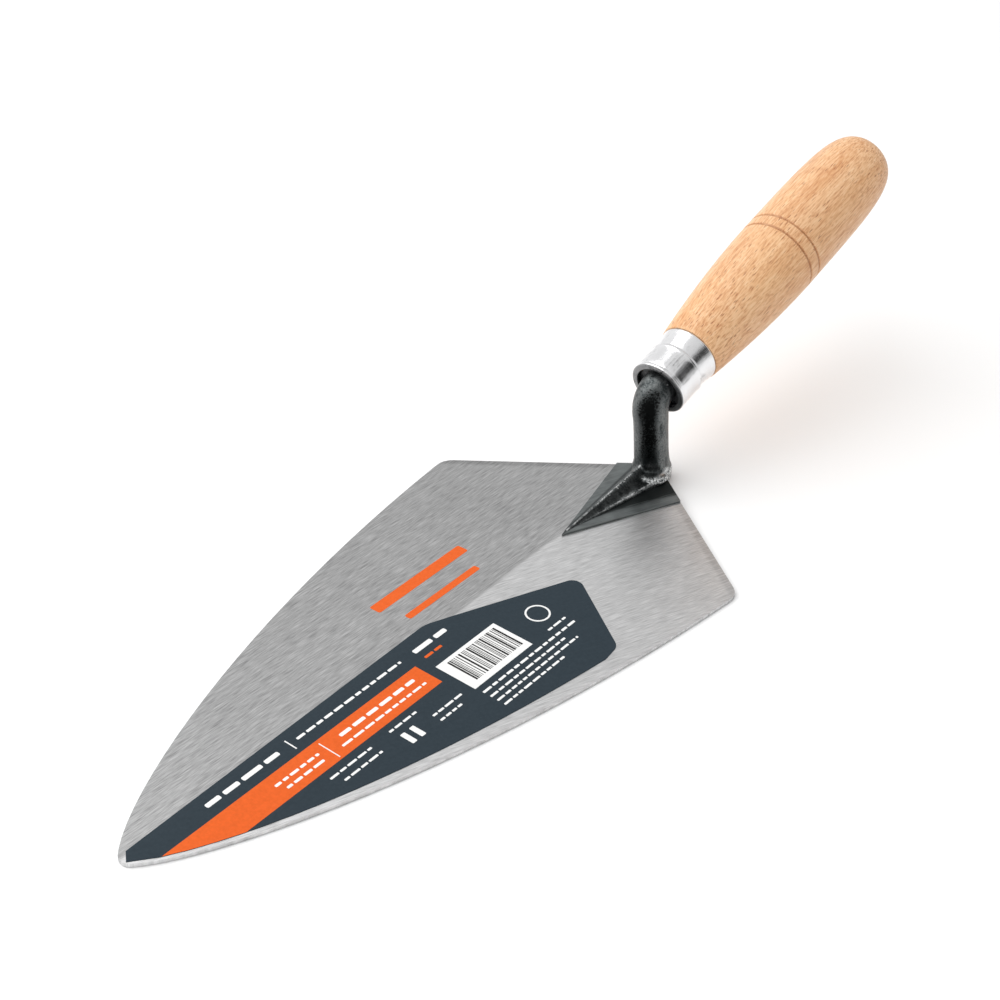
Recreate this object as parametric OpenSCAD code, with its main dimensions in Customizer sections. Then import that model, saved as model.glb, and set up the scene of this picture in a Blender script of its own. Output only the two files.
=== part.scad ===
// Brick trowel, Philadelphia pattern, with a forged blade and a turned wooden handle.
// The underside of the blade lies on Z = 0 and the tip points along -Y.
// The origin is on the underside, on the centreline, halfway along the blade.

/* [Blade] */
// Length of the blade from the tip to the point of the heel
blade_l = 275; // [250:1:300]
// Half of the width that the side curve tends to
side_w = 72; // [62:0.5:80]
// Length over which the side curve would close on itself
side_l = 292; // [285:1:320]
// How full the side curve is towards the heel
side_fullness = 1.84; // [1.6:0.02:2.1]
// How blunt the side curve is towards the tip
side_bluntness = 0.74; // [0.66:0.01:0.82]
// Fall of each back edge, in millimetres forward for each millimetre sideways
back_slope = 0.697; // [0.55:0.01:0.8]
// Radius of each shoulder corner
shoulder_r = 7; // [3:0.5:12]
// Thickness of the ridge at the tip
tip_t = 1.5; // [1.2:0.1:2.5]
// Thickness of the ridge at the heel
heel_t = 3.1; // [2.8:0.1:4]
// Sideways fall of each ground facet, in degrees
facet_fall = 1.3; // [0.8:0.1:1.3]

/* [Heel] */
// Length of the raised black strip along the centreline
heel_l = 61; // [45:1:75]
// Half width of the strip at the back edge, on the right
heel_right_w = 21; // [15:0.5:28]
// Half width of the strip at the back edge, on the left
heel_left_w = 13; // [10:0.5:20]
// How far the strip stands above the ground facets
heel_step = 0.8; // [0.4:0.1:1.5]
// Length of the rib in front of the neck
rib_l = 49; // [40:1:55]
// Width of the rib's right flank at the neck
rib_right_w = 9.4; // [6:0.2:10]
// Width of the rib's left flank at the neck
rib_left_w = 5.2; // [4:0.2:7]
// Climb of the rib's crest, in degrees
rib_climb = 5.5; // [4:0.5:9]

/* [Neck] */
// Radius of the round neck
neck_r = 6.5; // [5.5:0.1:6.6]
// Radius of the neck where it flares into the heel
foot_r = 8.3; // [7:0.1:9]
// How much thinner the neck's shank is than its bend
waist = 0.2; // [0.1:0.05:0.4]
// Forward lean of the neck, in degrees
neck_lean = 6; // [2:0.5:8]
// Centreline radius of the bend below the ferrule
bend_r = 8; // [7.5:0.1:9]
// Distance from the corner of the neck's centreline to the ferrule's mouth
corner_gap = 5.3; // [5:0.1:6]

/* [Tang] */
// Length of the tang inside the handle
tang_l = 86; // [60:1:110]
// Radius of the tang where it leaves the neck
tang_r = 5; // [4:0.1:5.5]
// Radius of the tang at its end
tang_end_r = 2.4; // [1.5:0.1:3.5]

/* [Ferrule] */
// Height of the middle of the ferrule's mouth above the underside
mouth_z = 39.2; // [36:0.2:44]
// Distance of the mouth's middle ahead of the heel's point
mouth_ahead = 3.2; // [1:0.2:5]
// Tilt of the handle's axis above level, in degrees
tilt = 17; // [12:0.5:22]
// Length of the ferrule
ferrule_l = 21.5; // [20:0.1:28]
// Distance from the mouth to the crimped step
step_s = 13.2; // [11:0.1:16]
// Outer radius of the front section
ferrule_r = 11.6; // [11:0.1:12.5]
// Outer radius of the rear section at the wood
ferrule_back_r = 12.3; // [11.6:0.1:13]
// Radius of the hole in the rolled lip
mouth_r = 9.2; // [8.8:0.1:9.8]
// Thickness of the ferrule's sheet
sheet_t = 0.8; // [0.6:0.1:1.2]

/* [Handle] */
// Distance from the ferrule's mouth to the butt
handle_end = 151.5; // [130:0.5:165]
// Distance from the mouth to the thickest place
belly_s = 86; // [80:1:110]
// Radius at the thickest place
belly_r = 17.1; // [15:0.1:19]
// Radius where the wood meets the ferrule
shoulder_wood_r = 12.5; // [12.3:0.1:14]
// Distance from the mouth to the first burned groove
groove_s = 81.6; // [70:0.5:90]
// Spacing of the two burned grooves
groove_gap = 5.9; // [4:0.1:10]
// Depth of each burned groove
groove_d = 0.6; // [0.3:0.1:1]

/* [Label] */
// Length of the label's straight inner edge
label_l = 143; // [120:1:150]
// Distance of the label's far corner from the tip
label_end = 199; // [190:1:205]
// How far the label reaches over the ridge at the tip
label_over = 2.2; // [0:0.1:4]
// How far the label reaches over the ridge at the end of its inner edge
label_over_end = 4.6; // [0:0.1:8]
// Thickness of the label's film
film_t = 0.15; // [0.1:0.01:0.3]

/* [Hidden] */
$fn = 96;
tip_y = -blade_l / 2;
heel_y = blade_l / 2;
ridge_climb = atan((heel_t - tip_t) / blade_l);
tip_start = 2;
tip_slope = side_bluntness * side_x(tip_start) / tip_start;
tip_r = side_x(tip_start) * sqrt(1 + tip_slope * tip_slope);
tip_c = tip_start + side_x(tip_start) * tip_slope;
tip_gap = tip_c - tip_r;
side_steps = 22;
arc_steps = 8;
stock_t = 14;
mouth_y = heel_y - mouth_ahead;
bend_turn = 90 + neck_lean - tilt;
bend_run = bend_r * tan(bend_turn / 2);
corner_z = mouth_z - corner_gap * sin(tilt);
shank_l = corner_z / cos(neck_lean) - bend_run;
shank_r = neck_r - waist;
bend_lap = 1.5;
flare_h = 8;
foot_z = 0.6;
neck_cut = 40;
neck_end_s = 4;
fill_s = 2.2;
nose_s = 6;
lip_r = 1.4;
lip_t = 0.9;
crimp_l = 0.8;
rear_drop = 0.5;
swell = 0.91;
butt_taper = 4.2;
butt_round = 5;
wood_steps = 18;
rib_back = 7;
rib_front_w = 0.6;
rib_front_rise = 0.3;
rib_right_fall = 20;
rib_left_fall = 36;
label_start = 1.6;
label_tip_cut = 3;
label_margin = 1;
label_fan = 0.032;
label_far_x = 20;
label_side_back = 30;
label_shoulder = [1, 8];
label_side_r = 5;
label_far_r = 4;
label_inner_r = 12;
bore_r = ferrule_r - sheet_t;
rear_r = ferrule_r - rear_drop;

// Half width of the side curve at a distance y from its virtual point.
function side_x(y) = side_w * pow(1 - pow(1 - y / side_l, side_fullness), side_bluntness);

// The side curve's distance from the virtual point where the back edge crosses it.
function meet(y, n) =
    n == 0 ? y : meet(blade_l + tip_gap - back_slope * side_x(y), n - 1);

// Points of a round corner of radius r at b, on the way from a to c.
function round_corner(a, b, c, r) =
    let (u = (a - b) / norm(a - b))
    let (v = (c - b) / norm(c - b))
    let (half = acos(u * v) / 2)
    let (m = b + (u + v) / norm(u + v) * r / sin(half))
    let (s = b + u * r / tan(half) - m)
    let (turn = (u.x * v.y - u.y * v.x > 0 ? -1 : 1) * (180 - 2 * half))
    [for (i = [0 : arc_steps])
        let (t = turn * i / arc_steps)
        m + [s.x * cos(t) - s.y * sin(t), s.x * sin(t) + s.y * cos(t)]];

shoulder_v = meet(blade_l * 0.82, 12);
shoulder_p = [side_x(shoulder_v), shoulder_v];
side_last = shoulder_v - shoulder_r;
tip_angle = atan(tip_slope);

// Right half of the blade's outline, from the tip to the heel's point.
tip_points = [for (i = [0 : arc_steps])
    let (t = -90 + (90 - tip_angle) * i / arc_steps)
    [tip_r * cos(t), tip_c + tip_r * sin(t)]];
side_points = [for (i = [1 : side_steps])
    let (y = tip_start + (side_last - tip_start) * pow(i / side_steps, 1.5))
    [side_x(y), y]];
heel_point = [0, blade_l + tip_gap];
half_outline = concat(
    tip_points,
    side_points,
    round_corner([side_x(side_last), side_last], shoulder_p, heel_point, shoulder_r),
    [heel_point]);

// Full outline of the blade in plan.
module outline() {
    n = len(half_outline);
    left = [for (i = [n - 2 : -1 : 1]) [-half_outline[i].x, half_outline[i].y]];
    translate([0, tip_y - tip_gap])
        polygon(concat(half_outline, left));
}

// Everything under two planes that meet along a ridge.
// The ridge starts over y at height z, climbs towards +Y and falls away to both sides.
module roof(y, z, climb, right_fall, left_fall) {
    big = 800;
    translate([0, y, z])
        rotate([climb, 0, 0])
            intersection() {
                rotate([0, right_fall, 0])
                    translate([-big, -big, -big])
                        cube([2 * big, 2 * big, big]);
                rotate([0, -left_fall, 0])
                    translate([-big, -big, -big])
                        cube([2 * big, 2 * big, big]);
            }
}

// The ground facets of the blade, raised by a lift.
module facets(lift) {
    roof(tip_y, tip_t + lift, ridge_climb, facet_fall, facet_fall);
}

module blade_solid() {
    intersection() {
        linear_extrude(height = stock_t)
            outline();
        facets(0);
    }
}

// Places its children on the handle's axis, with +Z along the axis, s from the mouth.
module on_axis(s) {
    translate([0, mouth_y, mouth_z])
        rotate([tilt - 90, 0, 0])
            translate([0, 0, s])
                children();
}

// Polished blade, a flat plate with two ground facets.
module blade() {
    color("silver")
        blade_solid();
}

// Plan of the black strip that the grinding leaves at the heel.
module heel_plan() {
    reach = 1.3;
    front = [0, heel_y - heel_l];
    right = [heel_right_w, heel_y - back_slope * heel_right_w];
    left = [-heel_left_w, heel_y - back_slope * heel_left_w];
    intersection() {
        outline();
        polygon([front, front + reach * (right - front), front + reach * (left - front)]);
    }
}

// Rib that carries the load of the neck into the strip, wider on the right.
module rib() {
    back_y = heel_y - rib_back;
    front_y = back_y - rib_l;
    strip_z = tip_t + (heel_t - tip_t) * (front_y - tip_y) / blade_l + heel_step;
    intersection() {
        linear_extrude(height = stock_t)
            polygon([
                [rib_front_w, front_y],
                [rib_right_w, back_y],
                [-rib_left_w, back_y],
                [-rib_front_w, front_y]]);
        roof(front_y, strip_z + rib_front_rise, rib_climb, rib_right_fall, rib_left_fall);
    }
}

module heel_solid() {
    difference() {
        union() {
            intersection() {
                linear_extrude(height = stock_t)
                    heel_plan();
                facets(heel_step);
            }
            rib();
        }
        facets(0);
    }
}

// Raised strip and rib at the heel, left black from the forge.
module heel() {
    color("dimgray")
        heel_solid();
}

// Placed where the bend has turned by an angle, with +Z running down the neck.
module down_neck(turn) {
    on_axis(bend_run - corner_gap)
        translate([0, bend_r, 0])
            rotate([turn, 0, 0])
                translate([0, -bend_r, 0])
                    mirror([0, 0, 1])
                        children();
}

// The neck's full length: flared foot, leaning shank, bend and end inside the ferrule.
module neck_solid() {
    difference() {
        union() {
            down_neck(bend_turn) {
                cylinder(r = shank_r, h = shank_l);
                translate([0, 0, shank_l - flare_h])
                    cylinder(r1 = shank_r, r2 = foot_r, h = flare_h);
            }
            on_axis(bend_run - corner_gap)
                translate([0, bend_r, 0])
                    rotate([-90, 0, 0])
                        rotate([0, 90, 0])
                            rotate_extrude(angle = bend_turn + bend_lap)
                                translate([bend_r, 0])
                                    circle(r = neck_r);
            on_axis(bend_run - corner_gap)
                cylinder(r = neck_r, h = neck_end_s - bend_run + corner_gap);
        }
        translate([-neck_cut, heel_y - neck_cut, foot_z - 2 * neck_cut])
            cube(2 * neck_cut);
    }
}

// Forged neck, black from the forge.
module neck() {
    color("darkslategray")
        difference() {
            neck_solid();
            blade_solid();
            heel_solid();
        }
}

module tang_solid() {
    on_axis(neck_end_s)
        cylinder(r1 = tang_r, r2 = tang_end_r, h = tang_l);
}

// Tapered tang that holds the handle.
module tang() {
    color("darkgray")
        tang_solid();
}

// Radius of the ferrule's rear section, outside the sheet, at a distance s from the mouth.
function rear_x(s) =
    rear_r + (ferrule_back_r - rear_r) * (s - step_s) / (ferrule_l - step_s);

// Crimped ferrule of plated sheet, with a rolled lip and one step.
module ferrule() {
    lip = [for (i = [0 : arc_steps])
        let (t = -90 + 90 * i / arc_steps)
        [ferrule_r - lip_r + lip_r * cos(t), lip_r + lip_r * sin(t)]];
    color("gainsboro")
        on_axis(0)
            rotate_extrude()
                polygon(concat(lip, [
                    [ferrule_r, step_s - crimp_l],
                    [rear_r, step_s],
                    [ferrule_back_r, ferrule_l],
                    [ferrule_back_r - sheet_t, ferrule_l],
                    [rear_r - sheet_t, step_s],
                    [bore_r, step_s - crimp_l],
                    [bore_r, lip_t],
                    [mouth_r, lip_t],
                    [mouth_r, 0]]));
}

// Black resin that fills the ferrule round the end of the neck.
module tang_fill() {
    color("black")
        difference() {
            on_axis(fill_s)
                cylinder(r = bore_r, h = nose_s - fill_s);
            neck_solid();
            tang_solid();
        }
}

// Radius of the wood at a distance s from the ferrule's mouth.
function wood_r(s) =
    s < belly_s
        ? shoulder_wood_r + (belly_r - shoulder_wood_r)
            * pow(sin(90 * (s - ferrule_l) / (belly_s - ferrule_l)), swell)
        : belly_r * pow(1 - pow((s - belly_s) / (handle_end - belly_s), butt_taper), 1 / butt_round);

// One burned groove round the handle.
module groove(s) {
    on_axis(s)
        rotate_extrude()
            translate([wood_r(s), 0])
                circle(r = groove_d);
}

// Turned beech handle with a nose inside the ferrule and a bore for the tang.
module handle() {
    front = [for (i = [0 : wood_steps])
        let (s = ferrule_l + (belly_s - ferrule_l) * i / wood_steps)
        [wood_r(s), s]];
    rear = [for (i = [1 : wood_steps])
        let (s = handle_end - (handle_end - belly_s) * pow(1 - i / wood_steps, 2))
        [i < wood_steps ? wood_r(s) : 0, s]];
    color("burlywood")
        difference() {
            on_axis(0)
                rotate_extrude()
                    polygon(concat([
                        [0, nose_s],
                        [bore_r, nose_s],
                        [bore_r, step_s - crimp_l],
                        [rear_r - sheet_t, step_s],
                        [ferrule_back_r - sheet_t, ferrule_l]],
                        front, rear));
            tang_solid();
            groove(groove_s);
            groove(groove_s + groove_gap);
        }
}

// Width of the label at a distance y from the side curve's virtual point.
function label_x(y) = side_x(y) - label_margin - label_fan * y;

// Plan of the label on the right half of the blade.
module label_plan() {
    far = [label_far_x, label_end];
    edge_y = label_end - label_side_back;
    edge = [for (i = [0 : side_steps])
        let (y = label_start + (edge_y - label_start) * i / side_steps)
        [label_x(y), y]];
    outer = [label_x(edge_y), edge_y];
    shoulder = outer + [-label_shoulder.x, label_shoulder.y];
    inner = [-label_over_end, label_l];
    tip = [-label_over, label_start + label_tip_cut];
    translate([0, tip_y - tip_gap])
        polygon(concat(
            edge,
            round_corner(outer, shoulder, far, label_side_r),
            round_corner(shoulder, far, inner, label_far_r),
            round_corner(far, inner, tip, label_inner_r),
            [tip]));
}

// Printed film stuck on the right-hand facet.
module label() {
    color([0.18, 0.23, 0.29])
        difference() {
            intersection() {
                linear_extrude(height = stock_t)
                    label_plan();
                facets(film_t);
            }
            facets(0);
        }
}

blade();
heel();
neck();
tang();
ferrule();
tang_fill();
handle();
label();
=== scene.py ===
import math
import random

import bmesh
import bpy
from mathutils import Matrix, Vector, noise

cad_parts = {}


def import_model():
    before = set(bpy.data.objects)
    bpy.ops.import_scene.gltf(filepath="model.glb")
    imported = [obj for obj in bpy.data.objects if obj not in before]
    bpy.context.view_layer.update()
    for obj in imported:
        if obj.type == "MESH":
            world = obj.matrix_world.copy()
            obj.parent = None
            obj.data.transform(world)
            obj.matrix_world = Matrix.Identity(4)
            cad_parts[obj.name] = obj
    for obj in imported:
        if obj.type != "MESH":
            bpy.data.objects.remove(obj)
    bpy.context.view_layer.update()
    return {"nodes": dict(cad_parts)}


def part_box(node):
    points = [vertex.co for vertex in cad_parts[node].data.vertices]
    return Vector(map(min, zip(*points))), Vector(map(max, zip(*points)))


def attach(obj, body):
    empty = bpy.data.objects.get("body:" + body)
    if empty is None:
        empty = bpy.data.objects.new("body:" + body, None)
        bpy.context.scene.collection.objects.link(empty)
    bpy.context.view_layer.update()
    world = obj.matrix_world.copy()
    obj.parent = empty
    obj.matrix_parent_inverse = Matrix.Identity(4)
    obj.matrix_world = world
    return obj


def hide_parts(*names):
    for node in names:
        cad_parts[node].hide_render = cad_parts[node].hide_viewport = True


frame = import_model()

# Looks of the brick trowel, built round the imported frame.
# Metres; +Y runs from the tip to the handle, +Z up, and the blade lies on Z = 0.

MM = 0.001

# ---------------------------------------------------------------- places taken from the frame

TIP_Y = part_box("blade")[0].y
HEEL_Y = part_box("blade")[1].y

# The handle's axis, as the design has it.
TILT = math.radians(17)
MOUTH = Vector((0, HEEL_Y - 3.2 * MM, 39.2 * MM))
AXIS = Vector((0, math.cos(TILT), math.sin(TILT)))

# Stations along the axis, from the ferrule's mouth.
STEP_S = 13.2 * MM
FERRULE_L = 21.5 * MM
GROOVES_S = (81.6 * MM, 87.5 * MM)
BELLY_S = 86 * MM
BUTT_S = 151.5 * MM

# Radii along the axis.
BORE_R = 10.8 * MM
FERRULE_R = 11.6 * MM
REAR_R = 11.1 * MM
FERRULE_BACK_R = 12.3 * MM
WOOD_FRONT_R = 12.5 * MM
BELLY_R = 17.1 * MM

# The heel strip, and the slope of the blade's back edges.
HEEL_L = 61 * MM
HEEL_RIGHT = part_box("heel")[1].x
HEEL_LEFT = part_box("heel")[0].x
BACK_SLOPE = 0.697
STRIP_STEP = 0.8 * MM

# The rib in front of the neck: its ends, and its half widths at the neck and at its point.
RIB_FRONT = HEEL_Y - 58 * MM
RIB_BACK = HEEL_Y - 12 * MM
RIB_RIGHT_W, RIB_LEFT_W = 8.4 * MM, 4.6 * MM
RIB_POINT_W = 0.5 * MM


def facet_height(side):
    """The height of the blade's ground facet on one side, as a function of x and y."""
    mesh = frame["nodes"]["blade"].data
    face = max(
        (p for p in mesh.polygons if p.normal.z > 0.9 and p.center.x * side > 0),
        key=lambda p: p.area,
    )
    n, c = face.normal.copy(), face.center.copy()
    return lambda x, y: c.z - (n.x * (x - c.x) + n.y * (y - c.y)) / n.z


right_facet, left_facet = facet_height(1), facet_height(-1)


def top_z(x, y):
    """The height of the blade's upper side, where the two facets meet in a ridge."""
    return min(right_facet(x, y), left_facet(x, y))


# ---------------------------------------------------------------- mesh helpers

def new_object(name, bm, smooth=True):
    """Turns a bmesh into an object and frees it."""
    bmesh.ops.recalc_face_normals(bm, faces=bm.faces)
    mesh = bpy.data.meshes.new(name)
    bm.to_mesh(mesh)
    bm.free()
    obj = bpy.data.objects.new(name, mesh)
    bpy.context.scene.collection.objects.link(obj)
    for p in mesh.polygons:
        p.use_smooth = smooth
    return obj


def finish_piece(obj, material, slot, *nodes):
    """Gives a piece its material and its body, and hides the CAD nodes that it stands for; slot is
    not used.
    """
    obj.data.materials.clear()
    obj.data.materials.append(material)
    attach(obj, "root")
    if nodes:
        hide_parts(*nodes)
    return obj


def soften(obj, width, angle):
    """Bevels the edges that are sharper than an angle in degrees."""
    soft = obj.modifiers.new("edges", "BEVEL")
    soft.width = width
    soft.segments = 2
    soft.limit_method = "ANGLE"
    soft.angle_limit = math.radians(angle)


def skin(bm, rings, closed=False):
    """Joins rings of vertices with faces. A ring of one vertex closes to a point."""
    pairs = list(zip(rings, rings[1:]))
    if closed:
        pairs.append((rings[-1], rings[0]))
    for one, two in pairs:
        sides = max(len(one), len(two))
        for i in range(sides if len(one) + len(two) > 2 else 0):
            j = (i + 1) % sides
            if len(one) == 1:
                bm.faces.new((one[0], two[i], two[j]))
            elif len(two) == 1:
                bm.faces.new((one[i], two[0], one[j]))
            else:
                bm.faces.new((one[i], two[i], two[j], one[j]))


def on_axis(s, r, angle):
    """A point at station s, radius r and angle round the handle's axis."""
    side = Vector((1, 0, 0))
    over = AXIS.cross(side).normalized() * -1
    return MOUTH + AXIS * s + side * (r * math.cos(angle)) + over * (r * math.sin(angle))


def lathe(name, profile, wobble, sides=128, closed=True):
    """Turns (station, radius) points round the handle's axis; wobble(s, a) adds to the radius."""
    bm = bmesh.new()
    rings = []
    for s, r in profile:
        if r <= 0:
            rings.append([bm.verts.new(on_axis(s, 0, 0))])
            continue
        angles = [2 * math.pi * i / sides for i in range(sides)]
        rings.append([bm.verts.new(on_axis(s, r + wobble(s, a), a)) for a in angles])
    skin(bm, rings, closed)
    return new_object(name, bm)


def smoothstep(a, b, x):
    """0 at a and 1 at b, with soft ends; a may be the larger one."""
    t = max(0.0, min(1.0, (x - a) / (b - a)))
    return t * t * (3 - 2 * t)


def ripple(co, per_metre, depth, shift=(0, 0, 0)):
    """Smooth noise at a point, of about the given depth."""
    return noise.noise(co * per_metre + Vector(shift)) * depth


def ripple_round(s, a, turns, per_metre, depth):
    """Smooth noise round the handle's axis, without a seam."""
    return noise.noise(Vector((turns * math.cos(a), turns * math.sin(a), s * per_metre))) * depth


# ---------------------------------------------------------------- material helpers

# Most values of a noise texture lie between these two.
NOISE_LOW, NOISE_HIGH = 0.3, 0.7


class Shader:
    """A short way to write a node material."""

    def __init__(self, name):
        self.material = bpy.data.materials.new(name)
        self.material.use_nodes = True
        self.tree = self.material.node_tree
        self.tree.nodes.clear()
        out = self.tree.nodes.new("ShaderNodeOutputMaterial")
        self.bsdf = self.tree.nodes.new("ShaderNodeBsdfPrincipled")
        self.tree.links.new(self.bsdf.outputs[0], out.inputs[0])

    def put(self, socket, value):
        if isinstance(value, bpy.types.NodeSocket):
            self.tree.links.new(value, socket)
        elif socket.type == "RGBA" and len(value) == 3:
            socket.default_value = (*value, 1)
        else:
            socket.default_value = value

    def node(self, kind, inputs=None, out=0, **settings):
        n = self.tree.nodes.new("ShaderNode" + kind)
        for key, value in settings.items():
            setattr(n, key, value)
        for key, value in (inputs or {}).items():
            self.put(n.inputs[key], value)
        return n.outputs[out]

    def set(self, **values):
        """Fills the principled shader's sockets; _ in a name stands for a space."""
        for key, value in values.items():
            self.put(self.bsdf.inputs[key.replace("_", " ")], value)
        return self.material

    def here(self):
        return self.node("TexCoord", out="Object")

    def place(self, scale, turn=0.0, shift=(0, 0, 0)):
        """Object coordinates, turned about Z and then stretched."""
        turned = self.node("Mapping", {
            "Vector": self.here(), "Rotation": (0, 0, turn), "Location": shift})
        return self.node("Mapping", {"Vector": turned, "Scale": scale})

    def along_axis(self):
        """Object coordinates with Y along the handle's axis, 0 at the ferrule's mouth."""
        centred = self.node("Mapping", {"Vector": self.here(), "Location": tuple(-MOUTH)})
        return self.node("Mapping", {"Vector": centred, "Rotation": (-TILT, 0, 0)})

    def axis_place(self, scale, shift=(0, 0, 0)):
        return self.node("Mapping", {
            "Vector": self.along_axis(), "Scale": scale, "Location": shift})

    def noise(self, vector, detail=3.0, rough=0.5, distortion=0.0):
        return self.node("TexNoise", {
            "Vector": vector, "Scale": 1.0, "Detail": detail,
            "Roughness": rough, "Distortion": distortion})

    def remap(self, value, a, b, c=0.0, d=1.0, smooth=False):
        return self.node("MapRange", {
            "Value": value, "From Min": a, "From Max": b, "To Min": c, "To Max": d},
            interpolation_type="SMOOTHSTEP" if smooth else "LINEAR")

    def ease(self, value, a, b):
        """0 at a and 1 at b, with soft ends."""
        return self.remap(value, a, b, smooth=True)

    def swing(self, noise, low, high):
        """The middle of a noise's range, stretched from low to high."""
        return self.remap(noise, NOISE_LOW, NOISE_HIGH, low, high)

    def math(self, operation, first, *others):
        """One math node for each further value, or a single one for a lone value."""
        if not others:
            return self.node("Math", {0: first}, operation=operation)
        for other in others:
            first = self.node("Math", {0: first, 1: other}, operation=operation)
        return first

    def plus(self, *values):
        return self.math("ADD", *values)

    def minus(self, a, b):
        return self.math("SUBTRACT", a, b)

    def times(self, *values):
        return self.math("MULTIPLY", *values)

    def most(self, *values):
        return self.math("MAXIMUM", *values)

    def size(self, value):
        return self.math("ABSOLUTE", value)

    def mix(self, factor, a, b):
        return self.node("Mix", {0: factor, 6: a, 7: b}, out=2, data_type="RGBA")

    def blend(self, factor, a, b):
        return self.node("Mix", {0: factor, 2: a, 3: b}, out=0, data_type="FLOAT")

    def rgb(self, r, g, b):
        return self.node("CombineColor", {0: r, 1: g, 2: b})

    def parts(self, vector):
        n = self.tree.nodes.new("ShaderNodeSeparateXYZ")
        self.put(n.inputs[0], vector)
        return n.outputs

    def sharp_edges(self, low, high):
        """1 on sharp outer edges; uses how much the surface juts out."""
        return self.ease(self.node("NewGeometry", out="Pointiness"), low, high)

    def bump(self, height, distance, strength):
        return self.node("Bump", {"Height": height, "Distance": distance, "Strength": strength})


# ---------------------------------------------------------------- steel

# Directions of the grinding on the two facets.
LEFT_GRAIN, RIGHT_GRAIN = math.radians(2), math.radians(22)
# Frequencies of the grain, across and along its lines, per metre.
FINE_LINES, STREAKS, SCRATCHES = (2400, 150), (800, 26), (1900, 30)
# Brightness of the two facets, the right one painted lighter and the left one darker as painted
# light and shade, and how much each pattern changes it.
LEFT_PAINTED_SHADE_GREY, RIGHT_PAINTED_LIGHT_GREY = 0.40, 0.61
FINE_CONTRAST, STREAK_CONTRAST, CLOUD_CONTRAST = 0.17, 0.04, 0.022
SCRATCH_GAIN, BACK_BAND_GAIN = 0.13, -0.09


def ground_steel():
    """Ground steel: two facets ground in two directions, with a soft line between them."""
    s = Shader("ground_steel")
    x, y, _ = s.parts(s.here())
    along = s.noise(s.place((14, 14, 14)), detail=2)
    edge = s.plus(x, s.swing(along, -1.0 * MM, 3.0 * MM))
    right = s.ease(edge, -0.9 * MM, 0.9 * MM)

    def grain(lines, shift, detail):
        """Noise drawn out along each facet's own grinding direction."""
        made = [
            s.noise(s.place((*lines, 1), turn, shift), detail=detail, rough=0.6)
            for turn in (LEFT_GRAIN, RIGHT_GRAIN)]
        return s.blend(right, *made)

    fine = grain(FINE_LINES, (0, 0, 0), 3)
    streak = grain(STREAKS, (3, 1, 0), 3)
    scratched = s.ease(grain(SCRATCHES, (7, 2, 0), 2), 0.69, 0.78)
    cloud = s.noise(s.place((34, 22, 1), shift=(2, 5, 0)), detail=4, rough=0.6)
    # A darker band lies along the back edges.
    from_back = s.minus(HEEL_Y, s.plus(y, s.times(s.size(x), BACK_SLOPE)))
    band = s.ease(from_back, 4.6 * MM, 2.2 * MM)
    # The facets' two greys under the patterns are painted light and shade.
    base = s.plus(
        s.remap(fine, 0.25, 0.75, -FINE_CONTRAST, FINE_CONTRAST),
        s.remap(streak, 0.25, 0.75, -STREAK_CONTRAST, STREAK_CONTRAST),
        s.swing(cloud, -CLOUD_CONTRAST, CLOUD_CONTRAST),
        s.times(scratched, SCRATCH_GAIN),
        s.times(band, BACK_BAND_GAIN),
        s.remap(right, 0, 1, LEFT_PAINTED_SHADE_GREY, RIGHT_PAINTED_LIGHT_GREY))
    return s.set(
        Base_Color=s.rgb(base, base, s.times(base, 1.003)), Metallic=1.0,
        Roughness=s.plus(s.remap(streak, 0.2, 0.8, 0.34, 0.44), s.times(scratched, -0.08)),
        Normal=s.bump(s.plus(s.times(fine, 0.7), s.times(streak, 0.5)), 0.02 * MM, 0.5))


# ---------------------------------------------------------------- black scale

# Where the neck's painted dark reflection faces, and how squarely a spot must face it.
PAINTED_REFLECTION_FACING = (0.45, -0.89, 0.22)
FRONT_STARTS, FRONT_FULL = 0.81, 0.97
# Colours of the scale: in its hollows, on its high spots, painted shade and reflection, and rubbed
# to bare steel.
SCALE_LOW, SCALE_HIGH = (0.030, 0.036, 0.037), (0.20, 0.21, 0.21)
SCALE_PAINTED_SHADE, SCALE_RUBBED = (0.002, 0.0025, 0.0025), (0.85, 0.86, 0.86)
# The rib's lower right lip, as a share of the right flank's width.
LIP_AT = 0.90


def painted_neck_reflection(s, z, coarse, pits):
    """1 on the front of the neck, which is painted darker than its sides as a painted dark
    reflection.
    """
    normal = s.node("TexCoord", out="Normal")
    facing = s.node(
        "VectorMath", {0: normal, 1: PAINTED_REFLECTION_FACING}, out="Value", operation="DOT_PRODUCT")
    facing = s.plus(facing, s.swing(coarse, -0.07, 0.07), s.swing(pits, -0.09, 0.09))
    return s.times(s.ease(facing, FRONT_STARTS, FRONT_FULL), s.remap(z, 9 * MM, 14 * MM))


def rib_marks(s, x, y, z, coarse):
    """Two masks: painted shade in the hollow of the rib's right flank, and its worn crest and lip.
    """
    along = s.remap(y, RIB_FRONT, RIB_BACK)
    on_rib = s.remap(z, 11 * MM, 9 * MM)
    # Across the rib: 0 on its crest and 1 at its right foot.
    across = s.math("DIVIDE", x, s.plus(s.times(along, RIB_RIGHT_W), RIB_POINT_W))
    uneven = s.plus(across, s.swing(coarse, -0.10, 0.10))
    hollow = s.times(s.ease(uneven, 0.06, 0.20), s.ease(uneven, 0.86, 0.66), on_rib)
    crest = s.ease(s.size(x), 0.50 * MM, 0.12 * MM)
    lip = s.ease(s.size(s.minus(across, LIP_AT)), 0.08, 0.02)
    lip = s.times(lip, s.remap(along, 0.25, 0.55, 0.0, 0.7))
    chips = s.noise(s.place((700, 420, 700), shift=(4, 1, 6)), detail=4, rough=0.7)
    worn = s.times(s.most(s.times(crest, 0.6), lip), on_rib, s.remap(chips, 0.42, 0.62))
    return hollow, worn


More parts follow.
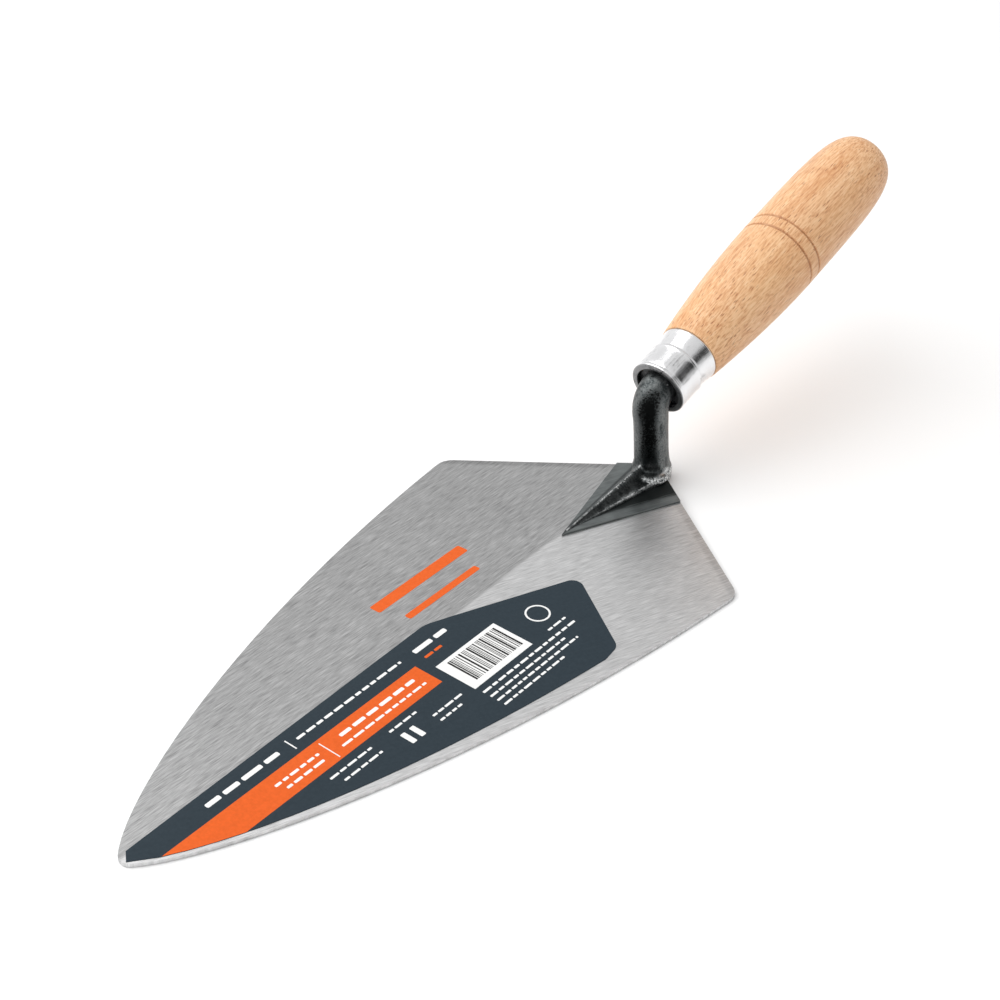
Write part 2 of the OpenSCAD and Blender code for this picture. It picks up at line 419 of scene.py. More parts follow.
def forge_black():
    """Black forge scale: glossy, uneven, with a painted dark reflection on the neck's front and
    bright knocks.
    """
    s = Shader("forge_black")
    x, y, z = s.parts(s.here())
    coarse = s.noise(s.place((300, 300, 120)), detail=5, rough=0.6)
    pits = s.noise(s.place((1500, 1500, 1500), shift=(1, 2, 3)), detail=3, rough=0.6)
    hollow, worn = rib_marks(s, x, y, z, coarse)
    # Painted shade: the neck's painted dark reflection and painted shade in the rib's hollow.
    painted_shade = s.most(painted_neck_reflection(s, z, coarse, pits), s.times(hollow, 0.68))
    knock = s.times(s.sharp_edges(0.54, 0.62), s.remap(pits, 0.42, 0.60))
    # The toe at the foot of the neck is rubbed bright on its right.
    toe = s.times(
        s.ease(z, 6.9 * MM, 5.9 * MM), s.remap(y, RIB_BACK - 4 * MM, RIB_BACK - 1 * MM),
        s.remap(x, 2 * MM, 4 * MM), s.remap(pits, 0.44, 0.60))
    mottle = s.plus(s.times(coarse, 0.6), s.times(pits, 0.4))
    colour = s.mix(s.remap(mottle, 0.40, 0.62), SCALE_LOW, SCALE_HIGH)
    colour = s.mix(painted_shade, colour, SCALE_PAINTED_SHADE)
    colour = s.mix(s.most(knock, worn, toe), colour, SCALE_RUBBED)
    return s.set(
        Base_Color=colour, Metallic=0.92, Roughness=s.swing(coarse, 0.33, 0.46),
        Normal=s.bump(s.plus(s.times(coarse, 0.4), s.times(pits, 0.5)), 0.06 * MM, 0.5))


# The strip's grey, its painted shade and its edges rubbed to steel.
STRIP_GREY = 0.135
STRIP_PAINTED_SHADE, STRIP_EDGE = (0.008, 0.010, 0.010), (0.4, 0.41, 0.41)
# How far the shadowed valley left of the rib runs sideways for each metre forward.
VALLEY_SLANT = 0.115


def strip_black():
    """The heel strip's flat scale: slate grey, satin, with painted shade beside the rib."""
    s = Shader("strip_black")
    x, y, _ = s.parts(s.here())
    draw = s.noise(s.place((1300, 70, 1), math.radians(24)), detail=4, rough=0.6)
    cloud = s.noise(s.place((170, 170, 170)), detail=4)
    # Distance in from the strip's right edge; the painted shade starts a few millimetres in.
    slant = HEEL_RIGHT / (HEEL_L - BACK_SLOPE * HEEL_RIGHT)
    from_front = s.minus(y, HEEL_Y - HEEL_L)
    inward = s.minus(s.times(from_front, slant), x)
    inward = s.plus(inward, s.swing(draw, -1.6 * MM, 1.6 * MM))
    painted_shade = s.times(s.ease(inward, 3.0 * MM, 6.5 * MM), s.remap(x, 0, 1.5 * MM))
    # A painted shadow also lies along the valley left of the rib.
    from_valley = s.size(s.plus(x, s.times(from_front, VALLEY_SLANT)))
    painted_shade = s.most(painted_shade, s.times(s.ease(from_valley, 1.0 * MM, 0.2 * MM), 0.6))
    grey = s.plus(s.swing(draw, -0.035, 0.035), s.swing(cloud, -0.03, 0.03), STRIP_GREY)
    colour = s.rgb(s.times(grey, 0.90), grey, grey)
    colour = s.mix(s.times(painted_shade, 0.94), colour, STRIP_PAINTED_SHADE)
    colour = s.mix(s.times(s.sharp_edges(0.53, 0.60), 0.5), colour, STRIP_EDGE)
    return s.set(
        Base_Color=colour, Metallic=0.6, Roughness=s.swing(cloud, 0.30, 0.46),
        Specular_IOR_Level=s.remap(painted_shade, 0, 1, 0.5, 0.05),
        Coat_Weight=s.remap(painted_shade, 0, 1, 0.15, 0.0), Coat_Roughness=0.25,
        Normal=s.bump(s.plus(draw, cloud), 0.04 * MM, 0.5))


# ---------------------------------------------------------------- plating, resin, wood and ink

# Brightness of the plating, and what smudges and the rolled lip take off it.
PLATE_GREY, SMUDGE_LOSS, LIP_LOSS = 0.88, 0.42, 0.60


def plated_sheet():
    """Bright plated sheet with draw lines, dull smudges and a dull rolled lip."""
    s = Shader("plated_sheet")
    lines = s.noise(s.axis_place((700, 30, 700)), detail=4, rough=0.65)
    rings = s.noise(s.axis_place((30, 2200, 30), (1, 2, 3)), detail=2)
    cloud = s.noise(s.axis_place((150, 110, 150), (4, 4, 4)), detail=5, rough=0.6)
    station = s.parts(s.along_axis())[1]
    lip = s.ease(station, 0.55 * MM, 0.25 * MM)
    smudge = s.times(s.ease(cloud, 0.52, 0.66), s.remap(lines, 0.42, 0.60))
    base = s.plus(PLATE_GREY, s.swing(cloud, -0.05, 0.05))
    base = s.minus(base, s.times(smudge, SMUDGE_LOSS))
    base = s.minus(base, s.times(lip, LIP_LOSS))
    rough = s.plus(s.swing(cloud, 0.14, 0.23), s.swing(lines, -0.04, 0.06), s.times(lip, 0.12))
    height = s.plus(s.times(lines, 0.7), s.plus(s.times(rings, 0.25), cloud))
    return s.set(
        Base_Color=s.rgb(base, base, s.times(base, 1.01)), Metallic=1.0, Roughness=rough,
        Normal=s.bump(height, 0.16 * MM, 0.5))


RESIN_LOW, RESIN_HIGH = (0.006, 0.006, 0.007), (0.03, 0.032, 0.033)


def black_resin():
    """Lumpy cast resin, glossy on its lumps."""
    s = Shader("black_resin")
    lumps = s.noise(s.place((420, 420, 420)), detail=4)
    return s.set(
        Base_Color=s.mix(s.swing(lumps, 0, 1), RESIN_LOW, RESIN_HIGH),
        Roughness=s.swing(lumps, 0.25, 0.5), Normal=s.bump(lumps, 0.3 * MM, 0.7))


# Colours of the beech: its bands, a warm cloud, the fibres' dark and light sides,
# the pores, the long dark flecks and the burned grooves.
BEECH_LIGHT, BEECH_MID, BEECH_CLOUD = (0.84, 0.51, 0.270), (0.69, 0.345, 0.145), (0.74, 0.43, 0.25)
FIBRE_DARK, FIBRE_LIGHT = (0.46, 0.165, 0.052), (0.92, 0.66, 0.42)
PORE, FLECK, BURN = (0.50, 0.19, 0.070), (0.27, 0.075, 0.02), (0.36, 0.135, 0.045)


def beech():
    """Turned beech: fine fibres, short brown flecks, faint rings and two burned grooves."""
    s = Shader("beech")
    fibre = s.noise(s.axis_place((1900, 140, 1900)), detail=3, rough=0.6)
    band = s.noise(s.axis_place((170, 7, 60), (3, 1, 2)), detail=4, rough=0.6, distortion=0.3)
    cloud = s.noise(s.axis_place((60, 30, 60), (9, 1, 2)), detail=3)

    def flecks(scale, shift, core, rim):
        """Long thin dots: 1 inside the core distance and 0 beyond the rim."""
        away = s.node("TexVoronoi", {
            "Vector": s.axis_place(scale, shift), "Scale": 1.0, "Randomness": 1.0},
            out="Distance", feature="F1")
        return s.ease(away, rim, core)

    pores = flecks((1700, 300, 1700), (0, 0, 0), 0.12, 0.36)
    dashes = flecks((1300, 150, 1300), (5, 3, 1), 0.10, 0.27)
    where = s.noise(s.axis_place((90, 40, 90), (2, 7, 1)), detail=2)
    dashes = s.times(dashes, s.remap(where, 0.36, 0.56))
    colour = s.mix(s.remap(band, 0.38, 0.68), BEECH_LIGHT, BEECH_MID)
    colour = s.mix(s.remap(cloud, 0.35, 0.75, 0, 0.35), colour, BEECH_CLOUD)
    colour = s.mix(s.remap(fibre, 0.50, 0.68, 0, 0.62), colour, FIBRE_DARK)
    colour = s.mix(s.remap(fibre, 0.50, 0.28, 0, 0.60), colour, FIBRE_LIGHT)
    colour = s.mix(s.times(pores, 0.60), colour, PORE)
    colour = s.mix(s.times(dashes, 0.90), colour, FLECK)
    # The burned lines waver a little along the axis.
    station = s.parts(s.along_axis())[1]
    station = s.plus(station, s.swing(cloud, -0.15 * MM, 0.15 * MM))
    burned = s.most(*(
        s.ease(s.size(s.minus(station, groove)), 0.85 * MM, 0.25 * MM) for groove in GROOVES_S))
    colour = s.mix(s.times(burned, s.swing(fibre, 0.55, 0.90)), colour, BURN)
    return s.set(
        Base_Color=colour, Roughness=s.swing(fibre, 0.34, 0.50),
        Specular_IOR_Level=0.35, Coat_Weight=0.12, Coat_Roughness=0.20,
        Normal=s.bump(s.minus(s.times(fibre, 0.5), s.times(dashes, 0.6)), 0.06 * MM, 0.6))


def printed(name, colour):
    """Ink or film: even colour with faint mottling and scuffs."""
    s = Shader(name)
    mottle = s.noise(s.place((900, 900, 900)), detail=3)
    scuff = s.noise(s.place((900, 40, 1), math.radians(31)), detail=3)
    dim = tuple(c * 0.93 for c in colour)
    bright = tuple(min(1, c * 1.05 + 0.004) for c in colour)
    return s.set(
        Base_Color=s.mix(s.swing(mottle, 0, 1), dim, bright), Specular_IOR_Level=0.2,
        Roughness=s.plus(s.remap(scuff, 0.3, 0.8, 0.50, 0.62), s.swing(mottle, -0.03, 0.03)),
        Normal=s.bump(mottle, 0.01 * MM, 0.4))


STEEL = ground_steel()
SCALE = forge_black()
STRIP = strip_black()
PLATE = plated_sheet()
RESIN = black_resin()
WOOD = beech()
SLATE = printed("label_slate", (0.016, 0.029, 0.040))
WHITE = printed("label_white", (0.86, 0.86, 0.85))
ORANGE = printed("label_orange", (0.74, 0.110, 0.008))
BLACK = printed("label_black", (0.012, 0.012, 0.012))

# ---------------------------------------------------------------- pieces kept from the CAD


def carry_over(node, material):
    """Keeps a CAD node and gives it its material."""
    obj = frame["nodes"][node]
    obj.data.materials.clear()
    obj.data.materials.append(material)
    return obj


soften(carry_over("blade", STEEL), 0.25 * MM, 35)
carry_over("label", SLATE)
carry_over("tang", SCALE)

# ---------------------------------------------------------------- heel strip

STRIP_CUTS = 24
STRIP_BURIED = 0.3 * MM


def heel_strip():
    """The flat black strip that the grinding left, a slab that follows the facets."""
    front = (0, HEEL_Y - HEEL_L, 0)
    right = (HEEL_RIGHT, HEEL_Y - BACK_SLOPE * HEEL_RIGHT, 0)
    left = (HEEL_LEFT, HEEL_Y + BACK_SLOPE * HEEL_LEFT, 0)
    apex = (0, HEEL_Y, 0)
    bm = bmesh.new()
    front, right, apex, left = (bm.verts.new(p) for p in (front, right, apex, left))
    bm.faces.new((front, right, apex))
    bm.faces.new((front, apex, left))
    bmesh.ops.subdivide_edges(bm, edges=bm.edges, cuts=STRIP_CUTS, use_grid_fill=True)
    for v in bm.verts:
        v.co.z = top_z(v.co.x, v.co.y) + STRIP_STEP + ripple(v.co, 160, 0.06 * MM)
    made = bmesh.ops.extrude_face_region(bm, geom=list(bm.faces))
    for v in (g for g in made["geom"] if isinstance(g, bmesh.types.BMVert)):
        v.co.z = top_z(v.co.x, v.co.y) - STRIP_BURIED
    obj = new_object("heel_strip", bm, smooth=False)
    soften(obj, 0.16 * MM, 50)
    return obj


# ---------------------------------------------------------------- neck and rib

# Neck: a leaning shank, a bend and a short run inside the ferrule.
NECK_R = 6.9 * MM
FOOT_R = 7.7 * MM
LEAN = math.radians(6)
BEND_R = 8 * MM
CORNER_GAP = 5.3 * MM
BEND_TURN = math.radians(90) + LEAN - TILT
BEND_RUN = BEND_R * math.tan(BEND_TURN / 2)
FOOT_Z = 0.7 * MM
NECK_SIDES, SHANK_RINGS, BEND_RINGS = 72, 36, 24
# The bar's waist, its sway to the right and the bead rolled round its foot.
WAIST = 0.25 * MM
NECK_SWAY = 0.6 * MM
BEAD_Z, BEAD_R, BEAD_HALF = 4.9 * MM, 0.9 * MM, 1.3 * MM
# The toe: its radius and half height, and where its middle lies.
TOE_R, TOE_H = 6.2 * MM, 2.3 * MM
TOE_X, TOE_AHEAD, TOE_Z = 4.2 * MM, 5.4 * MM, 5.0 * MM


def neck_path():
    """Centreline points with tangents, from the foot up into the ferrule."""
    corner = MOUTH - AXIS * CORNER_GAP
    up = Vector((0, -math.sin(LEAN), math.cos(LEAN)))
    start = corner - up * BEND_RUN
    centre = start + Vector((0, math.cos(LEAN), math.sin(LEAN))) * BEND_R
    length = (start.z - FOOT_Z) / up.z
    path = [(start - up * length * (1 - i / SHANK_RINGS), up) for i in range(SHANK_RINGS)]
    for i in range(BEND_RINGS + 1):
        turn = Matrix.Rotation(-BEND_TURN * i / BEND_RINGS, 3, "X")
        path.append((centre + turn @ (start - centre), turn @ up))
    last = path[-1][0]
    path += [(last + AXIS * (1.2 * MM * i), AXIS) for i in (1, 2)]
    # The neck stands a little to the right of the ferrule's middle.
    for p, _ in path:
        p.x += NECK_SWAY * smoothstep(37 * MM, 27 * MM, p.z)
    return path


def neck_body(bm):
    """The neck as a swept round bar, a little oval and waisted, with a swollen foot."""
    side = Vector((1, 0, 0))
    rings = []
    for p, tangent in neck_path():
        back = side.cross(tangent)
        r = NECK_R
        r -= WAIST * smoothstep(34 * MM, 22 * MM, p.z) * smoothstep(6 * MM, 16 * MM, p.z)
        r += (FOOT_R - NECK_R) * smoothstep(9 * MM, 3.2 * MM, p.z - FOOT_Z)
        ring = []
        for i in range(NECK_SIDES):
            a = 2 * math.pi * i / NECK_SIDES
            out = side * math.cos(a) + back * math.sin(a)
            # Two slow waves round the bar keep it from being a true circle.
            oval = 1 - 0.016 * math.cos(4 * a + 0.6) - 0.012 * math.cos(3 * a + 1.3 + 60 * p.z)
            # The bead is fullest at the front.
            front_on = 0.25 + 0.75 * max(0.0, math.cos(a - 1.0))
            bead = BEAD_R * front_on * math.exp(-((p.z - BEAD_Z) / BEAD_HALF) ** 2)
            ring.append(bm.verts.new(p + out * (r * oval + bead)))
        rings.append(ring)
    skin(bm, rings)
    bm.faces.new(rings[0][::-1])
    bm.faces.new(rings[-1])


RIB_STEPS = 60
RIB_H, RIB_POINT_H = 4.6 * MM, 0.45 * MM
RIB_TAIL = 4 * MM
RIB_BURIED = 0.9 * MM
# Cross-section of the rib as shares of its half widths and height, from left to right.
RIB_SECTION = (
    (-1.0, -0.25), (-0.97, 0.05), (-0.55, 0.42), (-0.16, 0.90), (-0.05, 1.0), (0.03, 0.98),
    (0.10, 0.86), (0.28, 0.56), (0.48, 0.38), (0.66, 0.33), (0.80, 0.38), (0.90, 0.36),
    (0.98, 0.16), (0.97, -0.25))


def along_rib(y):
    """0 at the rib's point and 1 where it meets the neck."""
    return (y - RIB_FRONT) / (RIB_BACK - RIB_FRONT)


def rib_body(bm):
    """The rib in front of the neck: a sharp crest, a hollow right flank and a low lip."""
    rings = []
    for k in range(RIB_STEPS + 1):
        y = RIB_FRONT + (RIB_BACK + RIB_TAIL - RIB_FRONT) * k / RIB_STEPS
        t = along_rib(y)
        tail = 1 - 0.5 * smoothstep(RIB_BACK, RIB_BACK + RIB_TAIL, y)
        height = RIB_POINT_H + RIB_H * t ** 1.05
        base = top_z(0, y) + STRIP_STEP
        ring = []
        for u, v in RIB_SECTION:
            width = RIB_POINT_W + (RIB_RIGHT_W if u > 0 else RIB_LEFT_W) * min(t, 1) * tail
            z = base + v * height if v > 0 else base - RIB_BURIED
            ring.append(bm.verts.new((u * width, y, z)))
        rings.append(ring)
    skin(bm, rings)
    bm.faces.new(rings[0])
    bm.faces.new(rings[-1][::-1])


def toe_body(bm):
    """The squashed lump where the foot of the neck was upset against the strip."""
    foot = neck_path()[0][0]
    made = bmesh.ops.create_uvsphere(bm, u_segments=40, v_segments=20, radius=1)
    for v in made["verts"]:
        v.co = Vector((v.co.x * TOE_R, v.co.y * TOE_R, v.co.z * TOE_H))
        v.co += Vector((TOE_X, foot.y - TOE_AHEAD, TOE_Z))


def hammered(co):
    """Depth of the hammer marks at a point; the neck has fewer than the rib."""
    calm = 1 - 0.7 * smoothstep(8 * MM, 14 * MM, co.z)
    marks = ripple(co, 130, 0.16 * MM) + ripple(co, 330, 0.06 * MM, (3, 1, 2))
    return (marks + ripple(co, 1300, 0.02 * MM)) * calm


TOOTH_PITCH, TOOTH_DEPTH = 1.3 * MM, 0.09 * MM
TOOTH_LIP_AT = 0.88


def serration(co):
    """Teeth along the rib's crest and its lower right lip."""
    t = along_rib(co.y)
    if not 0.05 < t < 1.02 or co.z > 10 * MM:
        return 0
    lip = TOOTH_LIP_AT * (RIB_POINT_W + RIB_RIGHT_W * t)
    near = max(
        smoothstep(1.2 * MM, 0.2 * MM, abs(co.x)),
        smoothstep(1.5 * MM, 0.3 * MM, abs(co.x - lip)))
    phase = 2 * math.pi * (co.y + 0.35 * co.x) / TOOTH_PITCH + ripple(co, 300, 3)
    return near * math.sin(phase) * TOOTH_DEPTH * smoothstep(0.1, 0.4, t)


VOXEL = 0.33 * MM
# Rounds of smoothing: over all, in the corner where rib and neck meet, and on the shank.
SMOOTH_ALL, SMOOTH_CORNER, SMOOTH_SHANK = 5, 8, 40


def grown_together(bodies):
    """The bodies joined and remeshed with voxels, as one mesh."""
    parts = []
    for name, build in bodies:
        bm = bmesh.new()
        build(bm)
        parts.append(new_object(name, bm))
    joined = parts[-1]
    bm = bmesh.new()
    for part in parts:
        bm.from_mesh(part.data)
    bm.to_mesh(joined.data)
    bm.free()
    grow = joined.modifiers.new("remesh", "REMESH")
    grow.mode = "VOXEL"
    grow.voxel_size = VOXEL
    bpy.context.view_layer.update()
    evaluated = joined.evaluated_get(bpy.context.evaluated_depsgraph_get())
    made = bpy.data.meshes.new_from_object(evaluated)
    for part in parts:
        bpy.data.objects.remove(part)
    return made


def forging():
    """Rib, toe and neck, grown into one and then marked by the hammer."""
    bm = bmesh.new()
    bm.from_mesh(grown_together((("rib", rib_body), ("toe", toe_body), ("neck", neck_body))))
    joint = HEEL_Y - 10 * MM
    everywhere = list(bm.verts)
    corner = [
        v for v in everywhere
        if abs(v.co.y - joint) < 5 * MM and 6.5 * MM < v.co.z < 12 * MM]
    shank = [v for v in everywhere if v.co.z > 9.5 * MM]
    for group, rounds in (
            (everywhere, SMOOTH_ALL), (corner, SMOOTH_CORNER), (shank, SMOOTH_SHANK)):
        for _ in range(rounds):
            bmesh.ops.smooth_vert(
                bm, verts=group, factor=0.5, use_axis_x=True, use_axis_y=True, use_axis_z=True)
    bm.normal_update()
    moves = [(v, v.normal * (hammered(v.co) + serration(v.co))) for v in bm.verts]
    for v, move in moves:
        v.co += move
        v.co.z = max(v.co.z, 0.4 * MM)
    bm.normal_update()
    return new_object("neck_and_rib", bm)


finish_piece(heel_strip(), STRIP, "forge_black", "heel")
finish_piece(forging(), SCALE, "forge_black", "neck", "heel")

# ---------------------------------------------------------------- ferrule and resin

# The rolled front lip and its crease as station and radius, in millimetres.
FERRULE_FRONT = (
    (0.9, 9.2), (0.3, 9.2), (0.08, 9.35), (0.0, 9.6), (0.0, 10.9), (0.12, 11.3), (0.4, 11.6),
    (0.8, 11.7), (1.2, 11.65), (1.55, 11.45), (1.8, 11.38), (2.1, 11.48), (2.6, 11.6))
# The bead before the step, from the step and from the front section's radius.
FERRULE_BEAD = ((-1.9, 0.0), (-1.5, 0.13), (-1.1, 0.20), (-0.7, 0.08), (-0.5, 0.0), (-0.25, -0.35))
STEP_RUN = 0.5 * MM
FRONT_BANDS, REAR_BANDS = 6, 8


def ferrule_outside():
    """The sleeve's outer line: rolled lip, straight front, crimp, step and flared rear."""
    line = [(s * MM, r * MM) for s, r in FERRULE_FRONT]
    bead = [(STEP_S + s * MM, FERRULE_R + r * MM) for s, r in FERRULE_BEAD]
    start, end = line[-1][0], bead[0][0]
    line += [(start + (end - start) * i / FRONT_BANDS, FERRULE_R) for i in range(1, FRONT_BANDS)]
    line += bead
    line += [(STEP_S, REAR_R - 0.12 * MM), (STEP_S + STEP_RUN, REAR_R - 0.04 * MM)]
    for i in range(1, REAR_BANDS + 1):
        t = i / REAR_BANDS
        s = STEP_S + STEP_RUN + (FERRULE_L - STEP_S - STEP_RUN) * t
        line.append((s, REAR_R + (FERRULE_BACK_R - REAR_R) * t ** 1.1))
    return line


def ferrule():
    """Stepped sheet collar with a rolled front lip and a crimp line."""
    inside = [
        (FERRULE_L, FERRULE_BACK_R - 0.6 * MM), (STEP_S, REAR_R - 0.8 * MM),
        (STEP_S - 1.1 * MM, BORE_R), (1.6 * MM, BORE_R), (0.95 * MM, BORE_R - 0.6 * MM)]

    def dents(s, a):
        return ripple_round(s, a, 3, 220, 0.035 * MM)

    return lathe("ferrule_sleeve", ferrule_outside() + inside, dents)


RESIN_FRONT, RESIN_BACK = 2.2 * MM, 6 * MM
RESIN_IN_R = NECK_R - 0.8 * MM
RESIN_BANDS = 9


def resin():
    """Lumpy black fill, sunk a little below the mouth."""
    wide = BORE_R - RESIN_IN_R
    profile = [
        (RESIN_FRONT, RESIN_IN_R + wide * i / RESIN_BANDS) for i in range(RESIN_BANDS + 1)]
    profile += [(RESIN_BACK, BORE_R), (RESIN_BACK, RESIN_IN_R)]
    obj = lathe("resin_fill", profile, lambda s, a: 0, sides=96)
    for v in obj.data.vertices:
        if (v.co - MOUTH).dot(AXIS) < 4 * MM:
            v.co -= AXIS * (ripple(v.co, 420, 0.5 * MM) + 0.2 * MM)
    return obj


finish_piece(ferrule(), PLATE, "plated_sheet", "ferrule")
finish_piece(resin(), RESIN, "black_resin", "tang_fill")

# ---------------------------------------------------------------- handle

# The wood starts on a flat disc just inside the ferrule, with its edge eased.
DISC_S, DISC_R = FERRULE_L - 1 * MM, 11 * MM
EDGE_L, EDGE_R = 0.25 * MM, 0.2 * MM
# The rings are close together between these stations, where the grooves are.
FINE_FROM, FINE_TO, FINE_STEP = BELLY_S - 6 * MM, BELLY_S + 3 * MM, 0.12 * MM
BODY_RINGS, FINE_RINGS, BUTT_RINGS = 90, 75, 70
GROOVE_HALF, GROOVE_DEEP = 0.62 * MM, 0.42 * MM


def wood_r(s):
    """Radius of the turned wood at a station from the ferrule's mouth."""
    if s < BELLY_S:
        t = (s - FERRULE_L) / (BELLY_S - FERRULE_L)
        swell = math.sin(math.pi / 2 * max(t, 0)) ** 0.91
        return WOOD_FRONT_R + (BELLY_R - WOOD_FRONT_R) * swell
    t = (s - BELLY_S) / (BUTT_S - BELLY_S)
    return BELLY_R * max(0.0, 1 - t ** 4.2) ** 0.2


def groove_depth(s):
    """A narrow burned groove, round at the bottom."""
    away = min(abs(s - g) for g in GROOVES_S)
    return GROOVE_DEEP * math.sqrt(max(0.0, 1 - (away / GROOVE_HALF) ** 2))


def handle_stations():
    """Where the handle's rings lie: its front edge, its body, the grooves and the butt."""
    body = FINE_FROM - FERRULE_L - EDGE_L
    stations = {FERRULE_L + EDGE_L * k / 3 for k in range(4)}
    stations |= {FERRULE_L + EDGE_L + body * i / BODY_RINGS for i in range(BODY_RINGS + 1)}
    stations |= {FINE_FROM + FINE_STEP * i for i in range(FINE_RINGS)}
    # Towards the butt the rings crowd together.
    stations |= {
        FINE_TO + (BUTT_S - FINE_TO) * (1 - (1 - i / BUTT_RINGS) ** 2) for i in range(BUTT_RINGS)}
    return sorted(stations)


def handle():
    """The turned handle, from the disc in the ferrule to the round butt."""
    profile = [(DISC_S, 0), (DISC_S, 3 * MM), (DISC_S, DISC_R), (FERRULE_L, DISC_R)]
    for s in handle_stations():
        eased = EDGE_R * smoothstep(EDGE_L, 0, s - FERRULE_L)
        profile.append((s, wood_r(s) - eased - groove_depth(s)))
    last_s, last_r = profile[-1]
    profile += [
        (last_s + (BUTT_S - last_s) * u, last_r * math.sqrt(1 - u * u))
        for u in (0.3, 0.6, 0.8, 0.92, 0.98)]
    profile.append((BUTT_S, 0))

    def out_of_round(s, a):
        return ripple_round(s, a, 1.2, 18, 0.06 * MM)

    return lathe("turned_handle", profile, out_of_round, sides=144, closed=False)


finish_piece(handle(), WOOD, "beech", "handle")

# ---------------------------------------------------------------- print on the film

FILM_T = 0.15 * MM
INK_T = 0.03 * MM
ON_STEEL, ON_FILM, ON_BAND = range(3)
# Where each layer's ink starts above the steel, and how thick it is.
LAYERS = ((0, 0.8 * INK_T), (FILM_T, INK_T), (FILM_T + INK_T, INK_T))
INK_BURIED = 0.3 * INK_T

# From here on the print is laid out in millimetres: across from the ridge and up from the tip.
# The orange band's two sides and its end.
BAND_X0, BAND_X1, BAND_END = 7.8, 19.8, 123.4
# Rows of plain bars in place of lines of print: layer, across, start, end and height.
ROWS = (
    # Along the film's inner edge, with a small orange row.
    ("white", ON_FILM, 1.7, 32, 66, 1.9),
    ("white", ON_FILM, 2.0, 72, 122, 1.1),
    ("white", ON_FILM, 1.7, 128.5, 145, 2.0),
    ("orange", ON_FILM, 6.8, 129, 137.5, 1.1),
    # On the band.
    ("white", ON_BAND, 12.1, 52, 71.5, 1.1),
    ("white", ON_BAND, 15.4, 54, 71.5, 1.1),
    ("white", ON_BAND, 11.3, 82, 119.5, 1.5),
    ("white", ON_BAND, 15.5, 79, 119.5, 1.0),
    # Between the band and the film's outer edge.
    ("white", ON_FILM, 23.0, 65.5, 85.5, 0.9),
    ("white", ON_FILM, 26.8, 68, 85.5, 0.9),
    ("white", ON_FILM, 22.6, 93.5, 106.5, 0.9),
    ("white", ON_FILM, 28.2, 108.5, 122.8, 0.9),
    ("white", ON_FILM, 31.5, 108.5, 120, 0.9),
    # Small print beside the panel.
    ("white", ON_FILM, 33.3, 128, 177.5, 1.0),
    ("white", ON_FILM, 36.5, 128, 168, 0.9),
    ("white", ON_FILM, 39.4, 128, 171.5, 0.9),
    ("white", ON_FILM, 42.4, 128, 160, 0.9),
    ("white", ON_FILM, 29.7, 167.5, 177, 0.9),
)
# Single blocks: layer, two opposite corners and corner radius.
BLOCKS = (
    # Two hairlines that part the rows.
    ("white", ON_FILM, 0.2, 68.5, 5.6, 69.0, 0),
    ("white", ON_BAND, 9.4, 74.7, 18.8, 75.1, 0),
    # Two short thick bars.
    ("white", ON_FILM, 26.6, 94.5, 32.4, 96.6, 0.4),
    ("white", ON_FILM, 26.6, 98.8, 32.4, 100.9, 0.4),
    # The panel under the stripes.
    ("white", ON_FILM, 13.2, 127.6, 30.6, 158.2, 0),
    # Plain orange bars on the steel, in place of the maker's print.
    ("mark", ON_STEEL, -26.4, 138, -21.4, 186, 0.8),
    ("mark", ON_STEEL, -13.6, 142, -10.6, 180, 0.8),
)
# Stripes on the panel: their two ends across, the first and the last one, and the
# thicknesses and gaps to draw from.
STRIPE_X0, STRIPE_X1, STRIPES_FROM, STRIPES_TO = 14.8, 28.0, 131.6, 156.2
STRIPE_SIZES, STRIPE_GAPS = (0.25, 0.25, 0.4, 0.55, 0.8), (0.3, 0.4, 0.55, 0.8)
# The plain ring in place of the pictogram.
RING_AT, RING_OUT, RING_IN, RING_SIDES = (21.5, 172.5), 4.6, 3.9, 40


def from_tip(x, y):
    """A layout point in metres, in the part's frame."""
    return x * MM, TIP_Y + y * MM


def slab(bm, corners, layer):
    """A thin plate over plan corners, on one of the layers."""
    lift, thick = LAYERS[layer]
    low = [bm.verts.new((x, y, top_z(x, y) + lift - INK_BURIED)) for x, y in corners]
    high = [bm.verts.new((x, y, top_z(x, y) + lift + thick)) for x, y in corners]
    bm.faces.new(high)
    bm.faces.new(low[::-1])
    for i in range(len(corners)):
        j = (i + 1) % len(corners)
        bm.faces.new((low[i], low[j], high[j], high[i]))


def rounded(x0, y0, x1, y1, r=0.0, steps=4):
    """Plan corners of a rectangle with round corners."""
    if r <= 0:
        return [from_tip(*p) for p in ((x0, y0), (x1, y0), (x1, y1), (x0, y1))]
    centres = ((x1 - r, y1 - r), (x0 + r, y1 - r), (x0 + r, y0 + r), (x1 - r, y0 + r))
    points = []
    for quarter, (cx, cy) in enumerate(centres):
        for i in range(steps + 1):
            t = math.radians(90 * quarter + 90 * i / steps)
            points.append(from_tip(cx + r * math.cos(t), cy + r * math.sin(t)))
    return points


def word_marks(bm, rng, layer, x, start, end, height):
    """A row of plain bars that stands for a line of print. It spells nothing."""
    y = start
    while y < end - 0.5 * height:
        stop = min(y + height * rng.uniform(2.0, 4.6), end)
        slab(bm, rounded(x, y, x + height, stop, r=height * 0.3), layer)
        y = stop + height * 0.8


